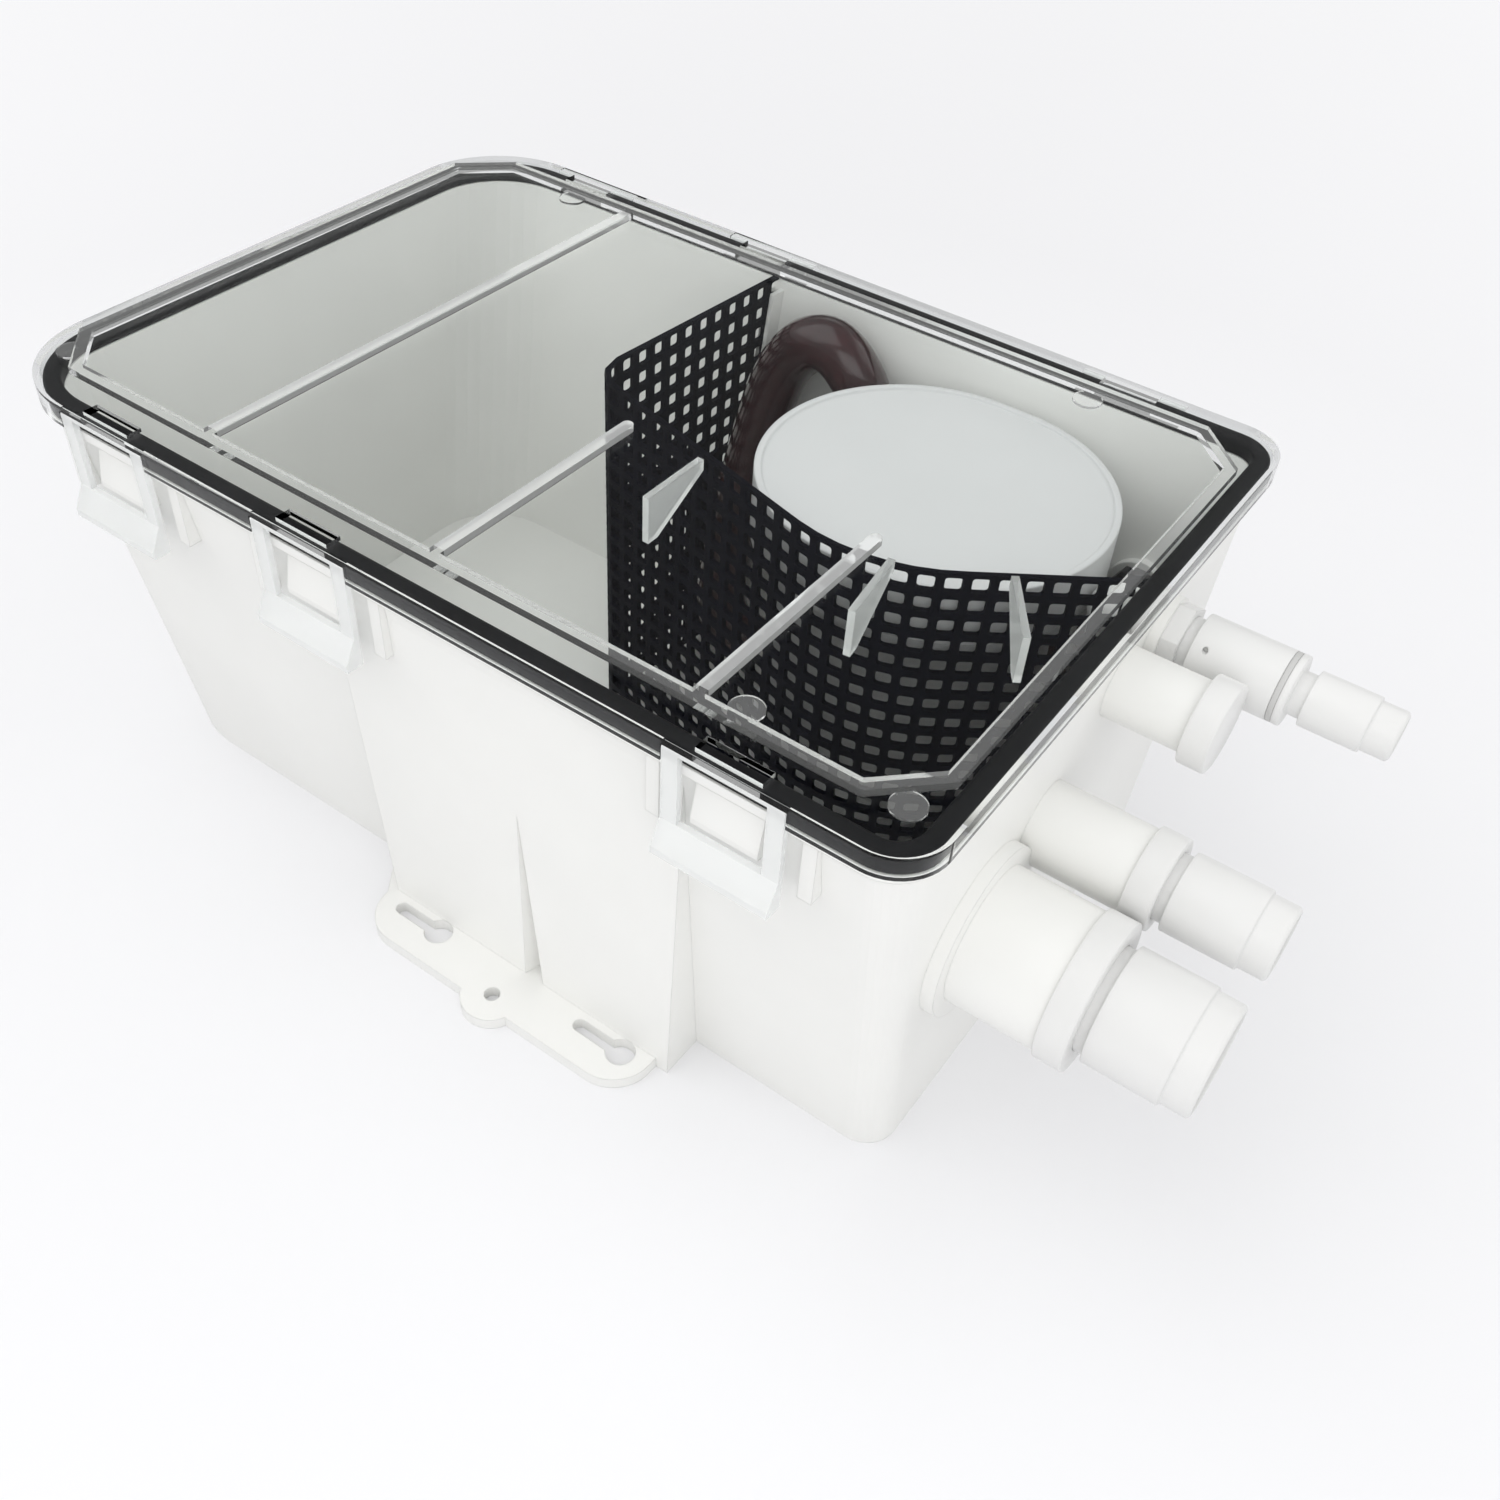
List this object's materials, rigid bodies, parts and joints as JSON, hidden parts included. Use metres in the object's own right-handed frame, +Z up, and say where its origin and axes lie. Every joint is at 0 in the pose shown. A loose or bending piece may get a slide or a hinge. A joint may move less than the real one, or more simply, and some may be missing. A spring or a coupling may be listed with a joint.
{
  "type": "shower sump pump box",
  "caption": "White shower sump tank with a clear latched lid, a curved black mesh strainer, an automatic float pump and hose spigots at one end.",
  "frame": {"origin": "middle of the tank's underside, on the ground", "axes": "+X along the box towards its hose ports, +Y across it to the side with the cable gland, +Z up to the lid"},
  "size_m": [0.3673, 0.232, 0.1445],
  "materials": {
    "white_moulding": "satin",
    "clear_moulding": "clear gloss",
    "black_rubber": "matte",
    "black_mesh": "satin",
    "white_fitting": "satin gloss",
    "pump_white": "satin gloss",
    "black_moulding": "satin",
    "stainless": "brushed",
    "motor_steel": "brushed",
    "dark_magnet": "matte",
    "brown_hose": "satin"
  },
  "bodies": {
    "tank_body": {"tank": "white_moulding", "gasket": "black_rubber", "strainer": "black_mesh", "large_inlet_spigot": "white_fitting", "large_inlet_ring": "white_fitting", "large_inlet_seal": "black_rubber", "medium_inlet_spigot": "white_fitting", "medium_inlet_ring": "white_fitting", "medium_inlet_seal": "black_rubber", "small_inlet_seal": "black_rubber", "outlet_elbow": "white_fitting", "outlet_elbow_nut": "white_fitting", "outlet_valve_body": "white_fitting", "outlet_spigot": "white_fitting", "outlet_seal": "black_rubber", "check_flap_pin": "stainless", "pump_base": "black_moulding", "pump_base_screws": "stainless", "suction_plate": "pump_white", "volute": "pump_white", "bearings": "motor_steel", "motor_magnets": "dark_magnet", "motor_can": "motor_steel", "shaft_seal": "black_rubber", "pump_body": "pump_white", "float_stem": "pump_white", "pump_cap": "pump_white", "pump_cap_screws": "stainless", "discharge_hose": "brown_hose", "pump_hose_clamp": "stainless", "outlet_hose_clamp": "stainless", "cable_gland": "black_moulding", "cable_gland_nut": "black_moulding"},
    "lid": {"lid": "clear_moulding"},
    "impeller_rotor": {"impeller": "black_moulding", "rotor": "motor_steel"},
    "float": {"switch_float": "black_moulding"},
    "check_flap": {"check_flap": "black_rubber"},
    "small_cap": {"small_inlet_cap": "white_fitting"},
    "latch_near_plain": {"latch_near_plain": "clear_moulding"},
    "latch_near_middle": {"latch_near_middle": "clear_moulding"},
    "latch_near_port": {"latch_near_port": "clear_moulding"},
    "latch_far_plain": {"latch_far_plain": "clear_moulding"},
    "latch_far_middle": {"latch_far_middle": "clear_moulding"},
    "latch_far_port": {"latch_far_port": "clear_moulding"}
  },
  "joints": [
    {"name": "lid_lift", "type": "slide", "parent": "tank_body", "child": "lid", "axis": [0, 0, 1], "range_m": [0, 0.08]},
    {"name": "impeller_spin", "type": "hinge", "parent": "tank_body", "child": "impeller_rotor", "pos_m": [0.061, 0.034, 0.03], "axis": [0, 0, 1], "continuous": true},
    {"name": "float_rise", "type": "slide", "parent": "tank_body", "child": "float", "axis": [0, 0, 1], "range_m": [0, 0.02]},
    {"name": "check_flap_swing", "type": "hinge", "parent": "tank_body", "child": "check_flap", "pos_m": [0.1631, 0.037, 0.1202], "axis": [0, -1, 0], "range_deg": [0, 50]},
    {"name": "small_cap_off", "type": "slide", "parent": "tank_body", "child": "small_cap", "axis": [1, 0, 0], "range_m": [0, 0.02]},
    {"name": "latch_near_plain_flex", "type": "hinge", "parent": "lid", "child": "latch_near_plain", "pos_m": [-0.10315, -0.1029, 0.1393], "axis": [-1, 0, 0], "range_deg": [0, 10], "stiffness_Nm_per_rad": 0.05},
    {"name": "latch_near_middle_flex", "type": "hinge", "parent": "lid", "child": "latch_near_middle", "pos_m": [-0.02816, -0.1029, 0.1393], "axis": [-1, 0, 0], "range_deg": [0, 10], "stiffness_Nm_per_rad": 0.05},
    {"name": "latch_near_port_flex", "type": "hinge", "parent": "lid", "child": "latch_near_port", "pos_m": [0.10315, -0.1029, 0.1393], "axis": [-1, 0, 0], "range_deg": [0, 10], "stiffness_Nm_per_rad": 0.05},
    {"name": "latch_far_plain_flex", "type": "hinge", "parent": "lid", "child": "latch_far_plain", "pos_m": [-0.10315, 0.1029, 0.1393], "axis": [1, 0, 0], "range_deg": [0, 10], "stiffness_Nm_per_rad": 0.05},
    {"name": "latch_far_middle_flex", "type": "hinge", "parent": "lid", "child": "latch_far_middle", "pos_m": [-0.02816, 0.1029, 0.1393], "axis": [1, 0, 0], "range_deg": [0, 10], "stiffness_Nm_per_rad": 0.05},
    {"name": "latch_far_port_flex", "type": "hinge", "parent": "lid", "child": "latch_far_port", "pos_m": [0.10315, 0.1029, 0.1393], "axis": [1, 0, 0], "range_deg": [0, 10], "stiffness_Nm_per_rad": 0.05}
  ]
}
